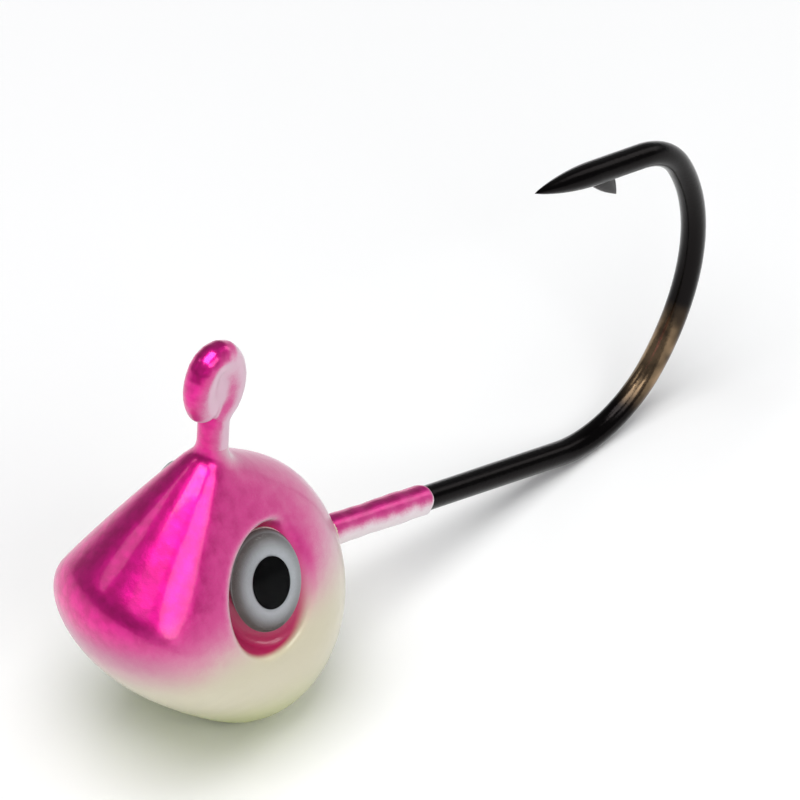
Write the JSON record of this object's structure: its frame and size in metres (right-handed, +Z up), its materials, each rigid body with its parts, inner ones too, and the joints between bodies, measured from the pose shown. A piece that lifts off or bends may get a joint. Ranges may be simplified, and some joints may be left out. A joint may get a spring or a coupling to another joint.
{
  "type": "jig head",
  "caption": "Painted lead jig head with domed eyes, cast round a bent barbed hook with a wire line tie.",
  "frame": {"origin": "the point of the belly that rests on a table, in the hook's plane", "axes": "+Z up with belly and hook heel resting on z = 0, nose towards -Y, hook towards +Y, the head's left side at +X; the hook lies in the plane x = 0"},
  "size_m": [0.0086, 0.0332, 0.0193],
  "materials": {
    "hook_wire": "black nickel plate",
    "lead": "dull cast lead",
    "pearl_paint": "gloss pearl cream to glow yellow green",
    "candy_paint": "gloss candy magenta over silver",
    "eye_adhesive": "matt",
    "eye_foil": "silver foil",
    "eye_pupil": "printed black",
    "eye_resin": "clear cast resin"
  },
  "bodies": {
    "root": {"hook": "hook_wire", "head_casting": "lead", "base_coat": "pearl_paint", "candy_coat": "candy_paint", "line_tie_coat": "candy_paint", "shank_coat": "candy_paint", "left_eye_pad": "eye_adhesive", "left_eye_foil": "eye_foil", "left_eye_pupil": "eye_pupil", "left_eye_dome": "eye_resin", "right_eye_pad": "eye_adhesive", "right_eye_foil": "eye_foil", "right_eye_pupil": "eye_pupil", "right_eye_dome": "eye_resin"}
  },
  "joints": []
}
